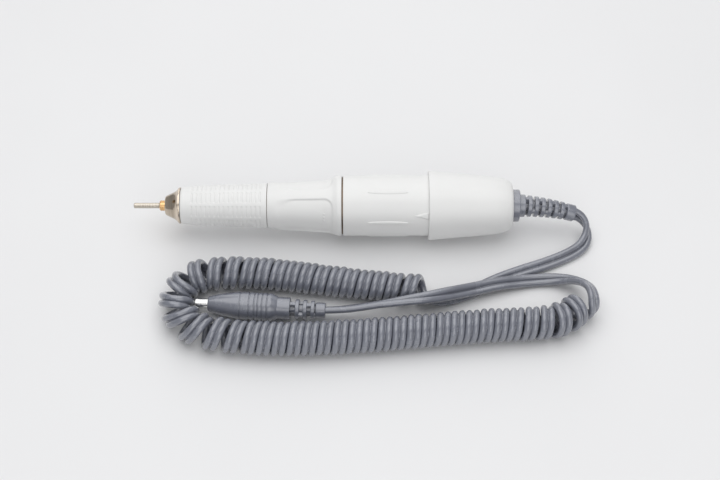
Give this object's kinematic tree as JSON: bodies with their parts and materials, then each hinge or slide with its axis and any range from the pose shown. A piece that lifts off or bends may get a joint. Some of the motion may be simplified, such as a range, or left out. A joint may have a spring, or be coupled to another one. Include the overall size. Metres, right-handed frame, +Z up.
{
  "type": "rotary tool handpiece",
  "caption": "White electric micromotor handpiece with a collet chuck, twist ring, test pin, ladder strain relief and a grey curly twin lead ending in a round plug.",
  "frame": {"origin": "on the surface the tool lies on, under the middle of the tool from test pin to rear cap", "axes": "+X along the tool's axis from chuck to cord, +Z up, -Y towards the coil"},
  "size_m": [0.1993, 0.0866, 0.0294],
  "materials": {
    "white_shell": "satin moulded white",
    "nickel": "polished nickel, slightly warm",
    "collet_bronze": "gold-coloured bronze",
    "housing_metal": "machined",
    "steel": "ground steel",
    "bearing_steel": "polished",
    "cage_brass": "pressed brass",
    "spring_steel": "spring steel",
    "coupling_metal": "turned",
    "seal_rubber": "black elastomer",
    "magnet": "sintered, matte",
    "lamination": "stacked sheet steel",
    "copper": "enamelled copper",
    "brown_moulding": "moulded phenolic",
    "carbon": "pressed carbon",
    "brass": "bright brass",
    "wire_insulation": "insulated wire",
    "cord_grey": "satin bluish grey jacket",
    "plug_metal": "plated",
    "plug_insulator": "black insulator"
  },
  "bodies": {
    "root": {"nose_cone": "nickel", "dust_seal": "seal_rubber", "front_housing": "housing_metal", "grip_sleeve": "white_shell", "spindle_outer_rings": "bearing_steel", "preload_washer": "spring_steel", "bearing_clip": "steel", "motor_housing": "white_shell", "motor_can": "steel", "front_plate": "housing_metal", "magnets": "magnet", "motor_outer_rings": "bearing_steel", "brush_holder": "brown_moulding", "brush_spring_upper": "spring_steel", "brush_spring_lower": "spring_steel", "brush_terminals": "brass", "lead_wires": "wire_insulation", "cord_collar": "plug_metal", "rear_cap": "white_shell", "cord_boot": "cord_grey", "inner_cord": "cord_grey", "cord_lead_tool": "cord_grey", "cord_coil": "cord_grey", "cord_lead_plug": "cord_grey", "plug_body": "cord_grey", "plug_shell": "plug_metal", "plug_insert": "plug_insulator", "plug_contacts": "brass", "plug_cord": "cord_grey"},
    "rotor": {"spindle": "steel", "spindle_inner_rings": "bearing_steel", "spindle_spacer": "steel", "spring_seat": "steel", "disc_springs": "spring_steel", "spindle_dog": "coupling_metal", "coupling_spider": "seal_rubber", "motor_dog": "coupling_metal", "armature_shaft": "steel", "armature_core": "lamination", "windings": "copper", "commutator": "copper", "commutator_core": "brown_moulding", "motor_inner_rings": "bearing_steel"},
    "spindle_ball_set": {"spindle_balls": "bearing_steel", "spindle_cages": "cage_brass"},
    "motor_ball_set": {"motor_balls": "bearing_steel", "motor_cages": "cage_brass"},
    "chuck": {"collet": "collet_bronze", "draw_bar": "steel", "cross_pin": "steel", "thrust_collar": "steel"},
    "test_pin": {"test_pin": "steel"},
    "twist_ring": {"twist_ring": "white_shell", "cam_liner": "steel"},
    "pusher": {"pusher": "steel", "pusher_pins": "steel"},
    "brush_upper": {"brush_upper": "carbon"},
    "brush_lower": {"brush_lower": "carbon"}
  },
  "joints": [
    {"name": "rotor_spin", "type": "hinge", "parent": "root", "child": "rotor", "pos_m": [0, 0, 0.0147], "axis": [1, 0, 0], "continuous": true},
    {"name": "spindle_balls_roll", "type": "hinge", "parent": "root", "child": "spindle_ball_set", "pos_m": [0, 0, 0.0147], "axis": [1, 0, 0], "continuous": true},
    {"name": "motor_balls_roll", "type": "hinge", "parent": "root", "child": "motor_ball_set", "pos_m": [0, 0, 0.0147], "axis": [1, 0, 0], "continuous": true},
    {"name": "ring_turn", "type": "hinge", "parent": "root", "child": "twist_ring", "pos_m": [0, 0, 0.0147], "axis": [1, 0, 0], "range_deg": [0, 60]},
    {"name": "pusher_slide", "type": "slide", "parent": "twist_ring", "child": "pusher", "axis": [-1, 0, 0], "range_m": [0, 0.0013]},
    {"name": "chuck_slide", "type": "slide", "parent": "rotor", "child": "chuck", "axis": [-1, 0, 0], "range_m": [0, 0.001], "deforming": ["disc_springs"]},
    {"name": "pin_pull", "type": "slide", "parent": "chuck", "child": "test_pin", "axis": [-1, 0, 0], "range_m": [0, 0.03]},
    {"name": "brush_upper_lift", "type": "slide", "parent": "root", "child": "brush_upper", "axis": [0, 0, 1], "range_m": [0, 0.0015], "stiffness_N_per_m": 200, "springref_m": -0.003, "deforming": ["brush_spring_upper"]},
    {"name": "brush_lower_lift", "type": "slide", "parent": "root", "child": "brush_lower", "axis": [0, 0, -1], "range_m": [0, 0.0015], "stiffness_N_per_m": 200, "springref_m": -0.003, "deforming": ["brush_spring_lower"]}
  ],
  "couplings": [
    {"joint": "spindle_balls_roll", "follows": "rotor_spin", "ratio": 0.3944},
    {"joint": "motor_balls_roll", "follows": "rotor_spin", "ratio": 0.3643},
    {"joint": "pusher_slide", "follows": "ring_turn", "m_per_rad": 0.001241},
    {"joint": "chuck_slide", "follows": "ring_turn", "m_per_rad": 0.000954}
  ]
}
